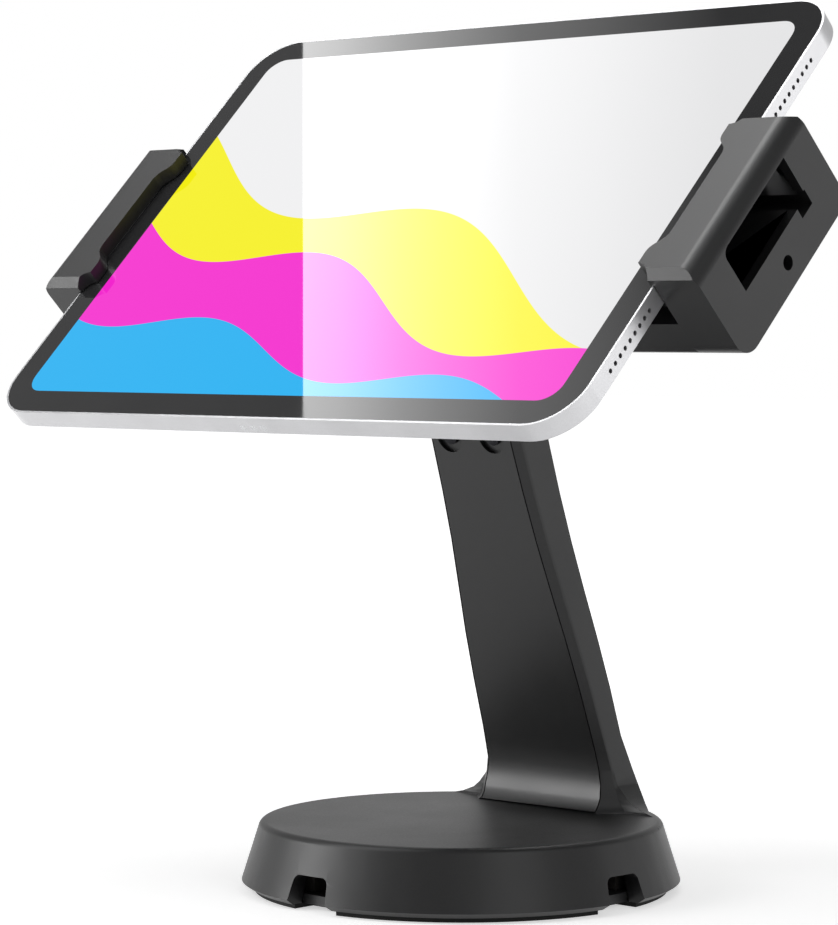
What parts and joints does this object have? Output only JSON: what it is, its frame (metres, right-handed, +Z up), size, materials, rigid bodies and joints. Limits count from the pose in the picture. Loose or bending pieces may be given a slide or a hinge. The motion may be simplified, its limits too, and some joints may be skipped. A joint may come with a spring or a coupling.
{
  "type": "tablet kiosk stand",
  "caption": "Countertop tablet stand with a weighted round base, a leaning arm with a cable channel, a tilting and rotating head, and two clamping jaws round a tablet.",
  "frame": {"origin": "centre of the round base on the table it stands on", "axes": "+Z up, -Y towards the viewer of the screen, +X to the viewer's right"},
  "size_m": [0.282, 0.1627, 0.2803],
  "materials": {
    "charcoal_plastic": "fine satin texture, charcoal",
    "cover_plastic": "satin charcoal cover",
    "dark_steel": "black coated sheet steel",
    "weight_iron": "plain cast weight",
    "rubber_black": "soft matte rubber",
    "zinc_steel": "bright zinc",
    "black_screw": "black oxide",
    "washer_nylon": "natural nylon",
    "brass_block": "machined brass",
    "tablet_silver": "bead blasted silver",
    "cover_glass": "clear cover glass over a black border",
    "display_panel": null,
    "battery_foil": "foil pouch",
    "board_green": "circuit board",
    "lens_glass": "coated lens",
    "contact_metal": "plated contact"
  },
  "bodies": {
    "stand": {"base_shell": "charcoal_plastic", "base_weight": "weight_iron", "base_plate": "dark_steel", "foot_mat": "rubber_black", "base_screws": "zinc_steel", "arm_bolts": "zinc_steel", "arm_shell": "charcoal_plastic", "arm_front_cover": "cover_plastic", "cover_screws": "black_screw", "tilt_axle": "zinc_steel", "tilt_nut": "zinc_steel", "tilt_washers": "washer_nylon", "hinge_caps": "cover_plastic"},
    "yoke": {"tilt_yoke": "dark_steel", "turntable_ring": "washer_nylon", "turntable_flange": "dark_steel", "flange_screws": "zinc_steel"},
    "cradle": {"cradle_front": "charcoal_plastic", "cradle_back": "charcoal_plastic", "cradle_screws": "zinc_steel", "left_jaw": "charcoal_plastic", "left_jaw_screws": "zinc_steel", "left_back_pad": "rubber_black", "clamp_nut_block": "brass_block", "nut_block_screws": "zinc_steel"},
    "sliding_jaw": {"right_jaw": "charcoal_plastic", "right_back_pad": "rubber_black", "clamp_collar": "brass_block"},
    "screw": {"clamp_screw": "zinc_steel"},
    "tablet": {"tablet_housing": "tablet_silver", "tablet_glass": "cover_glass", "tablet_display": "display_panel", "tablet_battery": "battery_foil", "tablet_board": "board_green", "tablet_camera_lens": "lens_glass", "tablet_contacts": "contact_metal"},
    "power_key": {"power_button": "tablet_silver"},
    "volume_up_key": {"volume_up_button": "tablet_silver"},
    "volume_down_key": {"volume_down_button": "tablet_silver"}
  },
  "joints": [
    {"name": "head_tilt", "type": "hinge", "parent": "stand", "child": "yoke", "pos_m": [0, 0.0028, 0.1771], "axis": [1, 0, 0], "range_deg": [-45, 40]},
    {"name": "head_rotate", "type": "hinge", "parent": "yoke", "child": "cradle", "pos_m": [0, -0.00698, 0.19337], "axis": [0, -0.7071, 0.7071], "range_deg": [-90, 90]},
    {"name": "jaw_slide", "type": "slide", "parent": "cradle", "child": "sliding_jaw", "axis": [1, 0, 0], "range_m": [0, 0.015]},
    {"name": "clamp_screw_turn", "type": "hinge", "parent": "sliding_jaw", "child": "screw", "pos_m": [0.119, -0.01278, 0.19916], "axis": [1, 0, 0], "range_deg": [0, 6750]},
    {"name": "tablet_lift", "type": "slide", "parent": "cradle", "child": "tablet", "axis": [0, 0.7071, 0.7071], "range_m": [0, 0.125]},
    {"name": "power_press", "type": "slide", "parent": "tablet", "child": "power_key", "axis": [1, 0, 0], "range_m": [0, 0.0003], "stiffness_N_per_m": 2500, "springref_m": -0.0003},
    {"name": "volume_up_press", "type": "slide", "parent": "tablet", "child": "volume_up_key", "axis": [0, -0.7071, -0.7071], "range_m": [0, 0.0003], "stiffness_N_per_m": 2500, "springref_m": -0.0003},
    {"name": "volume_down_press", "type": "slide", "parent": "tablet", "child": "volume_down_key", "axis": [0, -0.7071, -0.7071], "range_m": [0, 0.0003], "stiffness_N_per_m": 2500, "springref_m": -0.0003}
  ],
  "couplings": [
    {"joint": "clamp_screw_turn", "follows": "jaw_slide", "rad_per_m": 7854}
  ]
}
